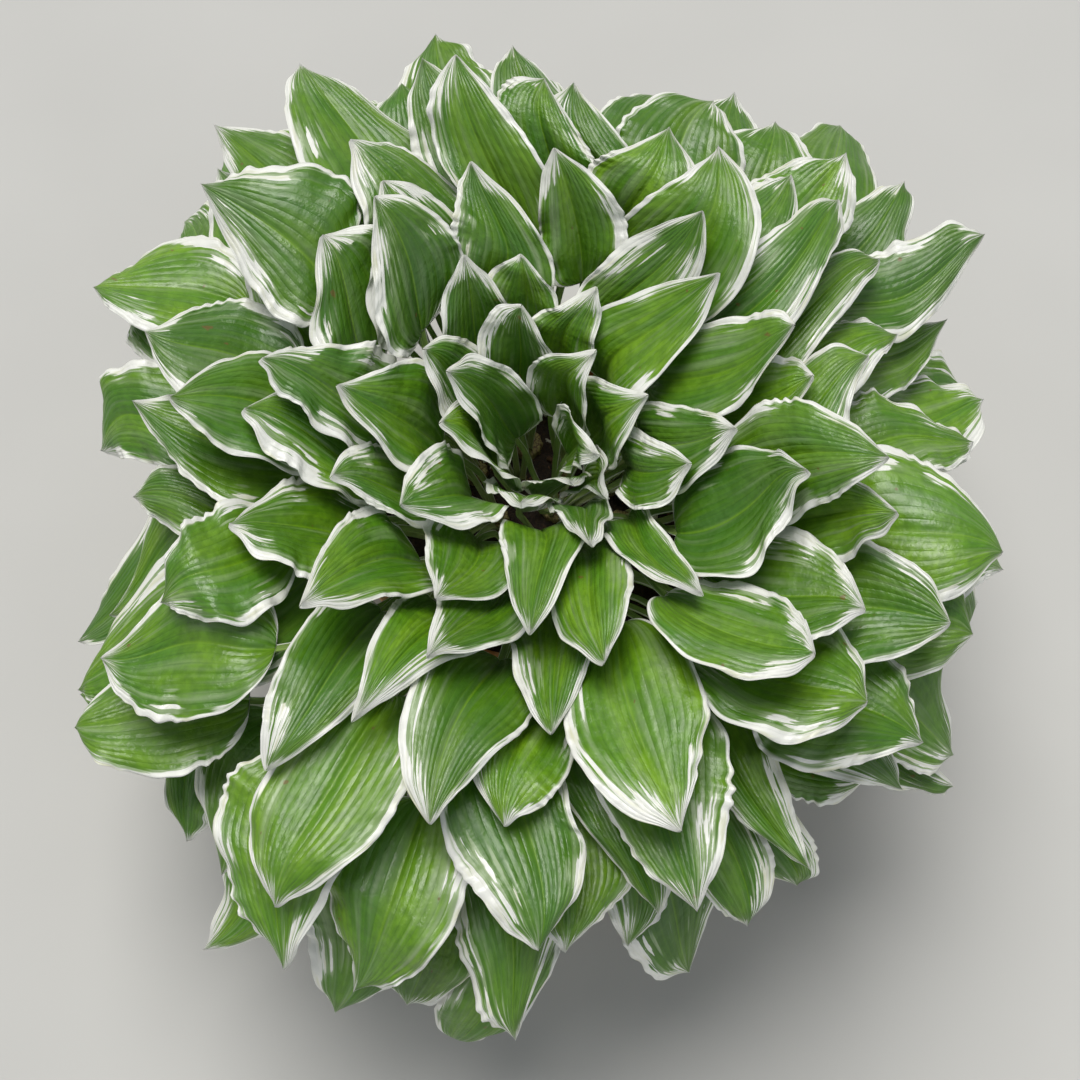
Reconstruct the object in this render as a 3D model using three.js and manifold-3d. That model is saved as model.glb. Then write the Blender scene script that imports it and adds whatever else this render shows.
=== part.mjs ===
// A variegated hosta growing in a plain terracotta pot. Millimetres, +Z up.
// The origin is the middle of the pot's underside, and the pot stands on z = 0.
//
// The pieces are the pot, the potting soil that fills it, and the plant's leafy shoots, which stand in
// plain holes in the soil. Each shoot is a short crown with its leaves: a petiole, then a waved blade.
//
// The foliage is a fountain. Every leaf follows an arching curve of its own, the first leaf almost
// upright in the middle and the last one hanging over the rim, and each curve, turned round the
// plant's axis, gives a surface that lies outside the one before. A leaf stays close to its own
// surface, so the leaves lie over each other without meeting.
import * as THREE from 'three';
import { mergeVertices } from 'three/addons/utils/BufferGeometryUtils.js';
import Module from 'manifold-3d';

// Clearance where two pieces touch.
const GAP = 0.3;

// Pot: a tapered wall under a thick collar.
const POT_HEIGHT = 300;
const POT_FOOT_RADIUS = 118;
const POT_NECK_RADIUS = 166;
const POT_WALL = 12;
const POT_FLOOR = 14;
const COLLAR_HEIGHT = 54;
const COLLAR_STEP = 7;
const LIP_ROUND = 4;
const FOOT_BEVEL = 3;
const POT_SIDES = 40;
const DRAIN_HOLES = 4;
const DRAIN_RADIUS = 9;
const DRAIN_CIRCLE = 62;
const DRAIN_SIDES = 8;

// Soil: fills the pot to just under the rim, a little higher in the middle.
const SOIL_LEVEL = POT_HEIGHT - 28;
const SOIL_MOUND = 8;
const SOIL_RINGS = 2;

// Crown: the disc of soil that the leaves grow from, and the shoots on it.
const LEAVES = 136;
const SHOOTS = 18;
const CROWN_RADIUS = 94;
const SHOOT_CIRCLE = 0.97 * CROWN_RADIUS;
const SHOOT_DEPTH = 36;
const SHOOT_TOP = 7;
const SHOOT_SIDES = 8;
const CROWN_MARGIN = 4.5;
const GOLDEN_ANGLE = Math.PI * (3 - Math.sqrt(5));

// Draw: the row of random numbers that the leaves differ by.
const SEED = 411788;
const SEED_SKIP = 3;
const DRAW_FACTOR = 48271;
const DRAW_RANGE = 2 ** 31 - 1;

// Fountain: how far a leaf leans out, in degrees from upright, and the slopes of its curve at the
// root, at the base of the blade and at the tip. A slope is its upright value less a share of the lean.
const LEAN_MOST = 96;
const LEAN_POWER = 0.9;
const LEAN_JITTER = 0.004;
const ROOT_SLOPE = { upright: 88, loss: 0.44 };
const BASE_SLOPE = { upright: 76, loss: 0.9 };
const TIP_SLOPE = { upright: 46, loss: 1.04 };
const FRONT_LEAN = 2;
const FRONT_LEAN_FULL = 50;
const BACK_HOLD = 0.12;
const FORWARD_SHEAR = 0.14;
const YOUNG_LEAN = 45;
const TIGHTEST_ROUND = 50;

// Leaf: sizes of a full-grown one, and of the young ones in the middle as shares of it.
const BLADE_LENGTH = 142;
const BLADE_HALF_WIDTH = 46;
const BLADE_THICKNESS = 0.8;
const BLADE_BASE_HALF = 3;
const FULL_LENGTH = 1.04;
const YOUNG_LENGTH = 0.82;
const YOUNG_WIDTH = 0.76;
const PETIOLE_LENGTH = 238;
const YOUNG_PETIOLE = 0.8;
const PETIOLE_HALF_WIDTH = 2.7;
const PETIOLE_DEPTH = 4.6;
const PETIOLE_ROOT = 2;
const PETIOLE_GATHER = 0.66;
const PETIOLE_GATHERED = 0.62;

// Heart: the youngest leaves, which close the middle of the clump. Their petioles are short, they
// turn aside the other way from their neighbours, and the middle shoot gathers more of them.
const HEART_LEAN = 28;
const HEART_PETIOLE = 0.68;
const HEART_YAW = -0.6;
const HEART_PULL = 0.65;

// Blade outline: an ovate curve, drawn out to a point.
const OUTLINE_SKEW = 0.69;
const OUTLINE_ROUND = 0.72;
const POINT_FROM = 0.84;
const POINT_DRAW = 0.3;

// Blade form: a fold along the midrib, cupped halves and a waved margin.
const FOLD_YOUNG = 0.26;
const FOLD_FULL = 0.16;
const FOLD_LEAN = 95;
const FOLD_AT_TIP = 0.25;
const FOLD_REACH = 0.9;
const CUP = 4.6;
const CUP_RATE = 2.2;
const WAVE_HEIGHT = 3.8;
const WAVES_LEAST = 2.6;
const WAVES_MORE = 1.3;
const WAVE_POWER = 2.2;
const WAVE_RISE = 0.18;
const WAVE_FADE = 0.12;
const ROLL_REACH = 0.25;
const YOUNG_CALM = 0.5;

// How much one leaf may differ from the next: shares of a size, degrees, or millimetres.
const VARY_SIZE = 0.14;
const VARY_PETIOLE = 0.16;
const VARY_WIDTH = 0.08;
const VARY_FOLD = 0.3;
const VARY_WAVE = 0.4;
const VARY_AZIMUTH = 4;
const VARY_YAW = 24;
const VARY_ROLL = 6;
const VARY_TWIST = 6;
const VARY_SWEEP = 8;
const VARY_TIP = 8;

// The places of the faceted rings: along the petiole as shares of its length, along the blade as
// shares of the blade's.
const PETIOLE_RINGS = [0, 0.3, 0.62, 0.985];
const BLADE_RINGS = [0.02, 0.13, 0.32, 0.52, 0.72, 0.88];
const BLADE_ACROSS = [-1, 0, 1];

// Sway: the whole clump is bent by slow waves, which grow from nothing at the crown. Each one
// pushes along one axis, and runs along its own direction.
const SWAY = 16;
const SWAY_FROM = 60;
const SWAY_GROWTH = 240;
const SWAY_LENGTH = 300;
const SWAY_WAVES = [
  { push: [1, 0, 0], run: [0, 1, 0.6], phase: 1.3 },
  { push: [0.5, 0, 0], run: [1, 0, 1.9], phase: 0.4 },
  { push: [0, 1, 0], run: [0.7, 0, 1], phase: 4.1 },
  { push: [0, 0.5, 0], run: [1.7, 1, 0], phase: 2.6 },
  { push: [0, 0, 0.8], run: [1, 0.8, 0], phase: 2.2 },
  { push: [0, 0, 0.4], run: [1, 1.8, 0], phase: 5 },
];

// Lobes: the clump reaches further in some directions, and is deeper than it is wide.
const DEPTH_SHARE = 1.14;
const LOBES = [
  { count: 4, reach: 0.04, facing: 45 },
  { count: 1, reach: 0.03, facing: 130 },
  { count: 3, reach: 0.02, facing: 40 / 3 },
];

const TERRACOTTA = new THREE.MeshStandardMaterial({ color: 0xb5653f, roughness: 0.85, metalness: 0 });
const POTTING_SOIL = new THREE.MeshStandardMaterial({ color: 0x2b2019, roughness: 1, metalness: 0 });
const HOSTA_LEAF = new THREE.MeshStandardMaterial({ color: 0x5f8a35, roughness: 0.5, metalness: 0 });

const { lerp, clamp, degToRad } = THREE.MathUtils;
const ease = (share) => THREE.MathUtils.smoothstep(share, 0, 1);

// ---- solids ----

const wasm = await Module();
wasm.setup();

function solidFrom(geometry) {
  const bare = geometry.clone();
  bare.deleteAttribute('normal');
  bare.deleteAttribute('uv');
  const merged = mergeVertices(bare);
  const mesh = new wasm.Mesh({
    numProp: 3,
    vertProperties: new Float32Array(merged.attributes.position.array),
    triVerts: new Uint32Array(merged.index.array),
  });
  return new wasm.Manifold(mesh);
}

function geometryFrom(solid) {
  const { vertProperties, triVerts } = solid.getMesh();
  const geometry = new THREE.BufferGeometry();
  geometry.setAttribute('position', new THREE.BufferAttribute(vertProperties, 3));
  geometry.setIndex(new THREE.BufferAttribute(triVerts, 1));
  geometry.computeVertexNormals();
  return geometry;
}

// An upright cylinder's solid, between two heights.
function cylinder(radius, sides, x, y, low, high) {
  const geometry = new THREE.CylinderGeometry(radius, radius, high - low, sides);
  geometry.rotateX(Math.PI / 2);
  geometry.translate(x, y, (low + high) / 2);
  return solidFrom(geometry);
}

// A closed profile of (radius, height) points turned round the Z axis.
function turned(profile) {
  const geometry = new THREE.LatheGeometry(profile, POT_SIDES);
  geometry.rotateX(Math.PI / 2);
  return geometry;
}

function named(name, geometry, material) {
  const mesh = new THREE.Mesh(geometry, material);
  mesh.name = name;
  return mesh;
}

// ---- pot ----

const wallRadius = (height) =>
  lerp(POT_FOOT_RADIUS, POT_NECK_RADIUS, height / (POT_HEIGHT - COLLAR_HEIGHT));
const boreRadius = (height) => wallRadius(height) - POT_WALL;

function makePot() {
  const collarLow = POT_HEIGHT - COLLAR_HEIGHT;
  const lipHeight = POT_HEIGHT - LIP_ROUND;
  const lipOuter = wallRadius(lipHeight) + COLLAR_STEP;
  const lipInner = boreRadius(lipHeight);
  const outline = new THREE.Path();
  outline.moveTo(0, 0);
  outline.lineTo(POT_FOOT_RADIUS - FOOT_BEVEL, 0);
  outline.lineTo(POT_FOOT_RADIUS, FOOT_BEVEL);
  outline.lineTo(wallRadius(collarLow), collarLow);
  outline.lineTo(wallRadius(collarLow) + COLLAR_STEP, collarLow + FOOT_BEVEL);
  outline.lineTo(lipOuter, lipHeight);
  outline.absarc(lipOuter - LIP_ROUND, lipHeight, LIP_ROUND, 0, Math.PI / 2, false);
  outline.absarc(lipInner + LIP_ROUND, lipHeight, LIP_ROUND, Math.PI / 2, Math.PI, false);
  outline.lineTo(boreRadius(POT_FLOOR), POT_FLOOR);
  outline.lineTo(0, POT_FLOOR);
  let solid = solidFrom(turned(outline.getPoints(1)));
  for (let hole = 0; hole < DRAIN_HOLES; hole += 1) {
    const angle = (hole + 0.5) * (2 * Math.PI / DRAIN_HOLES);
    const x = DRAIN_CIRCLE * Math.cos(angle);
    const y = DRAIN_CIRCLE * Math.sin(angle);
    solid = solid.subtract(cylinder(DRAIN_RADIUS, DRAIN_SIDES, x, y, -POT_FLOOR, 2 * POT_FLOOR));
  }
  return named('pot', geometryFrom(solid), TERRACOTTA);
}

// ---- soil ----

function makeSoil(shoots) {
  const low = POT_FLOOR + GAP;
  const edge = SOIL_LEVEL - SOIL_MOUND;
  const reach = boreRadius(edge) - GAP;
  const profile = [new THREE.Vector2(0, low), new THREE.Vector2(boreRadius(low) - GAP, low)];
  for (let ring = SOIL_RINGS; ring >= 0; ring -= 1) {
    const share = ring / SOIL_RINGS;
    profile.push(new THREE.Vector2(reach * share, SOIL_LEVEL - SOIL_MOUND * share * share));
  }
  let solid = solidFrom(turned(profile));
  for (const { x, y, radius } of shoots) {
    const floor = SOIL_LEVEL - SHOOT_DEPTH - GAP;
    solid = solid.subtract(cylinder(radius + GAP, SHOOT_SIDES, x, y, floor, POT_HEIGHT));
  }
  return named('soil', geometryFrom(solid), POTTING_SOIL);
}

// ---- leaves ----

// A repeatable row of numbers from 0 to 1.
function randomRow(seed) {
  let state = seed;
  const next = () => {
    state = (state * DRAW_FACTOR) % DRAW_RANGE;
    return state / DRAW_RANGE;
  };
  const either = (most) => (2 * next() - 1) * most;
  for (let skipped = 0; skipped < SEED_SKIP; skipped += 1) next();
  return { next, either };
}

function placeShoots() {
  const shoots = [];
  for (let index = 0; index < SHOOTS; index += 1) {
    const distance = SHOOT_CIRCLE * Math.sqrt((index + 0.5) / SHOOTS);
    const angle = index * GOLDEN_ANGLE;
    shoots.push({ x: distance * Math.cos(angle), y: distance * Math.sin(angle), leaves: [] });
  }
  return shoots;
}

function nearest(shoots, x, y) {
  const pull = (shoot) => (shoot === shoots[0] ? HEART_PULL : 1);
  const distance = (shoot) => Math.hypot(shoot.x - x, shoot.y - y) * pull(shoot);
  return shoots.reduce((best, shoot) => (distance(shoot) < distance(best) ? shoot : best));
}

function drawLeaf(index, shoots, random) {
  const share = (index + 0.5) / LEAVES;
  const heading = index * GOLDEN_ANGLE;
  const rootRadius = CROWN_RADIUS * Math.sqrt(share);
  const shoot = nearest(shoots, rootRadius * Math.cos(heading), rootRadius * Math.sin(heading));
  const lean = LEAN_MOST * clamp(share + random.either(LEAN_JITTER), 0, 1) ** LEAN_POWER;
  const held = 1 - (BACK_HOLD * (1 + Math.sin(heading))) / 2;
  const fall = lean * held - FRONT_LEAN * Math.sin(heading) * ease(lean / FRONT_LEAN_FULL);
  const grown = ease(lean / YOUNG_LEAN);
  const calm = lerp(YOUNG_CALM, 1, grown);
  const outer = ease(lean / HEART_LEAN);
  const slope = ({ upright, loss }) => degToRad(upright - loss * fall);
  const size = 1 + random.either(VARY_SIZE);
  const breadth = size * lerp(YOUNG_WIDTH, 1, grown);
  const leaf = {
    shoot,
    rootRadius,
    rootSlope: slope(ROOT_SLOPE),
    baseSlope: slope(BASE_SLOPE),
    tipSlope: slope(TIP_SLOPE),
    reach: PETIOLE_LENGTH * lerp(YOUNG_PETIOLE, 1, grown),
    length: BLADE_LENGTH * size * lerp(YOUNG_LENGTH, FULL_LENGTH, grown),
    azimuth: heading + degToRad(random.either(VARY_AZIMUTH)),
  };
  leaf.petiole = leaf.reach * (1 + random.either(VARY_PETIOLE)) * lerp(HEART_PETIOLE, 1, outer);
  leaf.halfWidth = BLADE_HALF_WIDTH * breadth * (1 + random.either(VARY_WIDTH));
  leaf.yaw = degToRad(random.either(VARY_YAW)) * lerp(HEART_YAW, 1, outer);
  leaf.roll = degToRad(random.either(VARY_ROLL)) * calm;
  leaf.fold = lerp(FOLD_YOUNG, FOLD_FULL, ease(lean / FOLD_LEAN)) * (1 + random.either(VARY_FOLD));
  leaf.wave = WAVE_HEIGHT * (1 + random.either(VARY_WAVE)) * calm;
  leaf.waves = WAVES_LEAST + random.next() * WAVES_MORE;
  leaf.leftPhase = random.next();
  leaf.rightPhase = random.next();
  leaf.sweep = random.either(VARY_SWEEP) * calm;
  leaf.tip = random.either(VARY_TIP) * calm;
  leaf.twist = degToRad(random.either(VARY_TWIST)) * calm;
  return leaf;
}

// An arc that starts at a slope and turns evenly: how far out and up it ends, and its slope there.
function arc(slope, bend, length) {
  const end = slope + bend * length;
  return {
    out: (Math.sin(end) - Math.sin(slope)) / bend,
    up: (Math.cos(slope) - Math.cos(end)) / bend,
    slope: end,
  };
}

// The leaf's own curve: one arc over the petiole's usual reach, and another over the blade's.
function curvePoint(leaf, along) {
  const stemBend = (leaf.baseSlope - leaf.rootSlope) / leaf.reach;
  const bladeBend = (leaf.tipSlope - leaf.baseSlope) / BLADE_LENGTH;
  const stem = arc(leaf.rootSlope, stemBend, Math.min(along, leaf.reach));
  if (along <= leaf.reach) {
    return { radius: leaf.rootRadius + stem.out, height: stem.up, slope: stem.slope };
  }
  const blade = arc(leaf.baseSlope, bladeBend, along - leaf.reach);
  return {
    radius: leaf.rootRadius + stem.out + blade.out,
    height: stem.up + blade.up,
    slope: blade.slope,
  };
}

function swayed(point) {
  const share = ease((point.length() - SWAY_FROM) / SWAY_GROWTH);
  const moved = point.clone();
  for (const { push, run, phase } of SWAY_WAVES) {
    const distance = point.dot(new THREE.Vector3(...run));
    const swing = SWAY * share * Math.sin((2 * Math.PI * distance) / SWAY_LENGTH + phase);
    moved.addScaledVector(new THREE.Vector3(...push), swing);
  }
  moved.y -= FORWARD_SHEAR * point.z;
  const azimuth = Math.atan2(moved.y, moved.x);
  let lobe = 1;
  for (const { count, reach, facing } of LOBES) {
    lobe += share * reach * Math.cos(count * (azimuth - degToRad(facing)));
  }
  return moved.multiply(new THREE.Vector3(lobe, lobe * DEPTH_SHARE, 1));
}

// The point at a distance along the leaf's curve, across it and off its surface.
function place(leaf, along, across, lift) {
  const { radius, height, slope } = curvePoint(leaf, along);
  const round = Math.max(radius, TIGHTEST_ROUND);
  const azimuth = leaf.azimuth + across / round;
  const outward = new THREE.Vector3(Math.cos(azimuth), Math.sin(azimuth), 0);
  const middle = new THREE.Vector3(Math.cos(leaf.azimuth), Math.sin(leaf.azimuth), 0);
  const point = middle.multiplyScalar(radius - round);
  point.addScaledVector(outward, round - Math.sin(slope) * lift);
  point.z = height + Math.cos(slope) * lift;
  return swayed(point);
}

function halfWidth(leaf, share) {
  const ovate = Math.sin(Math.PI * share ** OUTLINE_SKEW) ** OUTLINE_ROUND;
  const point = 1 - POINT_DRAW * ease((share - POINT_FROM) / (1 - POINT_FROM));
  return leaf.halfWidth * ovate * point + BLADE_BASE_HALF * (1 - share);
}

// A point of the blade: share runs from base to tip, side from -1 to 1 between the margins, and
// face is 1 on the upper face and -1 on the lower one.
function bladePoint(leaf, share, side, face) {
  const half = halfWidth(leaf, share);
  const off = Math.abs(side);
  const fold = leaf.fold * lerp(1, FOLD_AT_TIP, ease(share / FOLD_REACH));
  const phase = side < 0 ? leaf.leftPhase : leaf.rightPhase;
  const ripple = Math.sin(2 * Math.PI * (leaf.waves * share + phase));
  const waving = leaf.wave * ease(share / WAVE_RISE) * ease((1 - share) / WAVE_FADE);
  const roll = leaf.roll * ease(share / ROLL_REACH) + leaf.twist * share;
  let lift = (face * BLADE_THICKNESS) / 2;
  lift += fold * off * half;
  lift -= CUP * off * off * ease(CUP_RATE * share);
  lift += waving * off ** WAVE_POWER * ripple;
  lift += Math.tan(roll) * side * half;
  lift += leaf.tip * share ** 3;
  const ahead = share * leaf.length;
  const aside = side * half + leaf.sweep * share * share;
  const along = leaf.petiole + ahead * Math.cos(leaf.yaw) - aside * Math.sin(leaf.yaw);
  const across = ahead * Math.sin(leaf.yaw) + aside * Math.cos(leaf.yaw);
  return place(leaf, along, across, lift);
}

// A point of the petiole, which starts close to its shoot and eases out to the leaf's own curve.
function petiolePoint(leaf, share, aside, lift) {
  const along = share * leaf.petiole;
  const across = (along - leaf.petiole) * Math.tan(leaf.yaw) * share * share;
  const point = place(leaf, share > 0 ? along : PETIOLE_ROOT, across + aside, lift);
  const root = place(leaf, 0, 0, 0);
  const gathered = PETIOLE_GATHER * (1 - ease(share / PETIOLE_GATHERED));
  point.x += (leaf.shoot.x - root.x) * gathered;
  point.y += (leaf.shoot.y - root.y) * gathered;
  return point;
}

// One closed solid for petiole and blade. Each petiole ring is a left, a right and a keel point, each
// blade ring three points on the upper face and three on the lower one, and the tip is one of each.
function leafSolid(leaf) {
  const points = [];
  const faces = [];
  const add = (point) => points.push(point.x, point.y, point.z) / 3 - 1;
  const quad = (a, b, c, d) => faces.push(a, b, c, a, c, d);

  let last = null;
  for (const share of PETIOLE_RINGS) {
    const ring = [
      add(petiolePoint(leaf, share, -PETIOLE_HALF_WIDTH, 0)),
      add(petiolePoint(leaf, share, PETIOLE_HALF_WIDTH, 0)),
      add(petiolePoint(leaf, share, 0, -PETIOLE_DEPTH)),
    ];
    if (last) {
      quad(last[0], ring[0], ring[1], last[1]);
      quad(last[1], ring[1], ring[2], last[2]);
      quad(last[2], ring[2], ring[0], last[0]);
    } else {
      faces.push(ring[0], ring[1], ring[2]);
    }
    last = ring;
  }

  const [left, right, keel] = last;
  let upper = null;
  let lower = null;
  for (const share of BLADE_RINGS) {
    const top = BLADE_ACROSS.map((side) => add(bladePoint(leaf, share, side, 1)));
    const under = BLADE_ACROSS.map((side) => add(bladePoint(leaf, share, side, -1)));
    if (upper) {
      quad(upper[0], top[0], top[1], upper[1]);
      quad(top[2], upper[2], upper[1], top[1]);
      faces.push(lower[0], under[1], under[0], lower[0], lower[1], under[1]);
      faces.push(under[2], lower[1], lower[2], under[2], under[1], lower[1]);
      quad(lower[0], under[0], top[0], upper[0]);
      quad(upper[2], top[2], under[2], lower[2]);
    } else {
      faces.push(left, top[1], right, left, top[0], top[1], right, top[1], top[2]);
      faces.push(keel, under[1], under[0], keel, under[2], under[1]);
      quad(keel, under[0], top[0], left);
      quad(right, top[2], under[2], keel);
    }
    upper = top;
    lower = under;
  }

  const topTip = add(bladePoint(leaf, 1, 0, 1));
  const underTip = add(bladePoint(leaf, 1, 0, -1));
  faces.push(upper[0], topTip, upper[1], upper[1], topTip, upper[2]);
  faces.push(lower[0], lower[1], underTip, lower[1], lower[2], underTip);
  quad(lower[0], underTip, topTip, upper[0]);
  quad(upper[2], topTip, underTip, lower[2]);

  const geometry = new THREE.BufferGeometry();
  geometry.setAttribute('position', new THREE.Float32BufferAttribute(points, 3));
  geometry.setIndex(faces);
  return solidFrom(geometry);
}

function makeShoot(shoot, index) {
  const crown = cylinder(shoot.radius, SHOOT_SIDES, shoot.x, shoot.y, -SHOOT_DEPTH, SHOOT_TOP);
  const solid = shoot.leaves.reduce((whole, leaf) => whole.add(leafSolid(leaf)), crown);
  const number = String(index + 1).padStart(2, '0');
  return named(`shoot_${number}`, geometryFrom(solid), HOSTA_LEAF);
}

// A shoot's crown stands in the middle of its leaves' roots, and is just wide enough for them.
function settle(shoot) {
  const roots = shoot.leaves.map((leaf) => place(leaf, 0, 0, 0));
  shoot.x = roots.reduce((sum, root) => sum + root.x, 0) / roots.length;
  shoot.y = roots.reduce((sum, root) => sum + root.y, 0) / roots.length;
  const reach = Math.max(...roots.map((root) => Math.hypot(root.x - shoot.x, root.y - shoot.y)));
  shoot.radius = reach * (1 - PETIOLE_GATHER) + CROWN_MARGIN;
}

// ---- the whole plant ----

const random = randomRow(SEED);
const shoots = placeShoots();
for (let index = 0; index < LEAVES; index += 1) {
  const leaf = drawLeaf(index, shoots, random);
  leaf.shoot.leaves.push(leaf);
}
shoots.forEach(settle);

const foliage = new THREE.Group();
foliage.position.z = SOIL_LEVEL;
foliage.add(...shoots.map(makeShoot));

const plant = new THREE.Group();
plant.add(makePot(), makeSoil(shoots), foliage);

export default plant;
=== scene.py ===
"""A white-margined hosta in a terracotta pot: its looks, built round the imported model.

The plant is the fountain of leaves that the model's solids show in facets. Each leaf is drawn again
from the same rule and the same row of random numbers, with a fine surface, swollen halves beside a
sunk midrib, and a ruffled margin. The pot and the soil are made finer round the same outlines.
The plant's sizes are in millimetres, and a mesh is scaled to metres when it is made.
"""
import math

import bpy
import numpy as np
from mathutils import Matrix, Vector, noise


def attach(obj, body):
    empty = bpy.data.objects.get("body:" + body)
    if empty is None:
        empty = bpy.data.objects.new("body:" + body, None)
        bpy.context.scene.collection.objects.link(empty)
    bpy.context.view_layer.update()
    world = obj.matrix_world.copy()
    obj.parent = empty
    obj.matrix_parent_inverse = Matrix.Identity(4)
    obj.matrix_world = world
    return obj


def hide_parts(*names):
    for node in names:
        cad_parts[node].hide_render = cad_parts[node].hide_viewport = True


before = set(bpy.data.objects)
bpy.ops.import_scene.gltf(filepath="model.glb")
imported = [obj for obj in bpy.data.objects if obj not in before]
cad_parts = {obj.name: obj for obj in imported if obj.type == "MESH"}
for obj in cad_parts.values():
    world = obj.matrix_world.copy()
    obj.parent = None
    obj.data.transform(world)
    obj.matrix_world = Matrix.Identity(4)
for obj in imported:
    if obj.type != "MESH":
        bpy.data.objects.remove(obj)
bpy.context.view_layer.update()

MM = 0.001

# ---- sizes, in millimetres ----

# Pot: a tapered wall under a thick collar.
POT_HEIGHT = 300
POT_FOOT_RADIUS = 118
POT_NECK_RADIUS = 166
POT_WALL = 12
POT_FLOOR = 14
COLLAR_HEIGHT = 54
COLLAR_STEP = 7
LIP_ROUND = 4
FOOT_BEVEL = 3
DRAIN_HOLES = 4
DRAIN_RADIUS = 9
DRAIN_CIRCLE = 62
POT_SIDES = 192

# Soil: fills the pot to just under the rim, a little higher in the middle.
GAP = 0.3
SOIL_LEVEL = POT_HEIGHT - 28
SOIL_MOUND = 8
SOIL_RINGS = 90
SOIL_SIDES = 240
CLOD_HEIGHT = 2.6
CRUMBS = 900

# Crown: the disc of soil that the leaves grow from, and the shoots on it.
LEAVES = 136
SHOOTS = 18
CROWN_RADIUS = 94
SHOOT_CIRCLE = 0.97 * CROWN_RADIUS
SHOOT_DEPTH = 36
SHOOT_TOP = 7
CROWN_MARGIN = 4.5
CROWN_SIDES = 36
GOLDEN_ANGLE = math.pi * (3 - math.sqrt(5))

# Draw: the row of random numbers that the leaves differ by.
SEED = 411788
SEED_SKIP = 3
DRAW_FACTOR = 48271
DRAW_RANGE = 2**31 - 1
DETAIL_SEED = 2207

# Fountain: how far a leaf leans out, in degrees from upright, and the slopes of its curve at the
# root, the blade's base and the tip, each as (value upright, share of the lean taken off).
LEAN_MOST = 96
LEAN_POWER = 0.9
LEAN_JITTER = 0.004
ROOT_SLOPE = (88, 0.44)
BASE_SLOPE = (76, 0.9)
TIP_SLOPE = (46, 1.04)
FRONT_LEAN = 2
FRONT_LEAN_FULL = 50
BACK_HOLD = 0.12
FORWARD_SHEAR = 0.14
YOUNG_LEAN = 45
TIGHTEST_ROUND = 50

# Leaf: sizes of a full-grown one, and of the young ones in the middle as shares of it.
BLADE_LENGTH = 142
BLADE_HALF_WIDTH = 46
BLADE_THICKNESS = 0.6
BLADE_BASE_HALF = 3
FULL_LENGTH = 1.04
YOUNG_LENGTH = 0.82
YOUNG_WIDTH = 0.76
PETIOLE_LENGTH = 238
YOUNG_PETIOLE = 0.8
PETIOLE_HALF_WIDTH = 2.7
PETIOLE_DEPTH = 4.6
PETIOLE_ROOT = 2
PETIOLE_GATHER = 0.66
PETIOLE_GATHERED = 0.62

# Heart: the youngest leaves, which close the middle of the clump. Their petioles are short, they
# turn aside the other way from their neighbours, and the middle shoot gathers more of them.
HEART_LEAN = 28
HEART_PETIOLE = 0.68
HEART_YAW = -0.6
HEART_PULL = 0.65

# Blade outline: an ovate curve, drawn out to a point.
OUTLINE_SKEW = 0.69
OUTLINE_ROUND = 0.72
POINT_FROM = 0.84
POINT_DRAW = 0.3

# Blade form: a fold along the midrib, cupped halves and a waved margin.
FOLD_YOUNG = 0.26
FOLD_FULL = 0.16
FOLD_LEAN = 95
FOLD_AT_TIP = 0.25
FOLD_REACH = 0.9
CUP = 4.6
CUP_RATE = 2.2
WAVE_HEIGHT = 3.8
WAVES_LEAST = 2.6
WAVES_MORE = 1.3
WAVE_POWER = 2.2
WAVE_RISE = 0.18
WAVE_FADE = 0.12
ROLL_REACH = 0.25
YOUNG_CALM = 0.5

# How much one leaf may differ from the next: shares of a size, degrees, or millimetres.
VARY_SIZE = 0.14
VARY_PETIOLE = 0.16
VARY_WIDTH = 0.08
VARY_FOLD = 0.3
VARY_WAVE = 0.4
VARY_AZIMUTH = 4
VARY_YAW = 24
VARY_ROLL = 6
VARY_TWIST = 6
VARY_SWEEP = 8
VARY_TIP = 8

# Sway: slow waves that bend the whole clump, each as (push, run, phase).
SWAY = 16
SWAY_FROM = 60
SWAY_GROWTH = 240
SWAY_LENGTH = 300
SWAY_WAVES = (
    ((1, 0, 0), (0, 1, 0.6), 1.3),
    ((0.5, 0, 0), (1, 0, 1.9), 0.4),
    ((0, 1, 0), (0.7, 0, 1), 4.1),
    ((0, 0.5, 0), (1.7, 1, 0), 2.6),
    ((0, 0, 0.8), (1, 0.8, 0), 2.2),
    ((0, 0, 0.4), (1, 1.8, 0), 5),
)

# Lobes: the clump reaches further in some directions, as (count, reach, facing in degrees), and is
# deeper than it is wide.
DEPTH_SHARE = 1.14
LOBES = ((4, 0.04, 45), (1, 0.03, 130), (3, 0.02, 40 / 3))

# Fine form of a leaf: where its veins lie, its swollen halves and sunk midrib, the ruffles of the
# margin, the hooked tip, the channelled petiole and the midrib under the blade.
VEIN_PAIRS = 7
VEINS_TO_MARGIN = VEIN_PAIRS + 0.5
VEINS_AT_BASE = 1.12
VEINS_AT_TIP = 0.84
BULGE = 2.2
BULGE_RISE = 0.3
MIDRIB_FURROW = 1.3
MIDRIB_HALF = 2.4
MIDRIB_FADE = 2
RUFFLE_HEIGHT = 1.9
RUFFLES_LEAST = 8
RUFFLES_MORE = 5
RUFFLE_POWER = 5
RUFFLE_UNEVEN = 0.3
RUFFLE_DRIFT = 2.3
RUFFLE_SWELL = 1.7
RUFFLE_SCALLOP = 0.02
TIP_HOOK = 6
TIP_HOOK_FROM = 0.8
BLADE_END = 0.9992
BLADE_RIM = 0.45
BLADE_RIM_REACH = 6
END_CROWDING = 0.45
EDGE_CROWDING = 0.3
ALONG_STEPS = 84
ACROSS_STEPS = 46
PETIOLE_STEPS = 26
PETIOLE_FLARE = 0.22
PETIOLE_FLARE_POWER = 4
PETIOLE_CHANNEL = 1.5
MIDRIB_STEPS = 14
MIDRIB_END = 0.7
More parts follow.
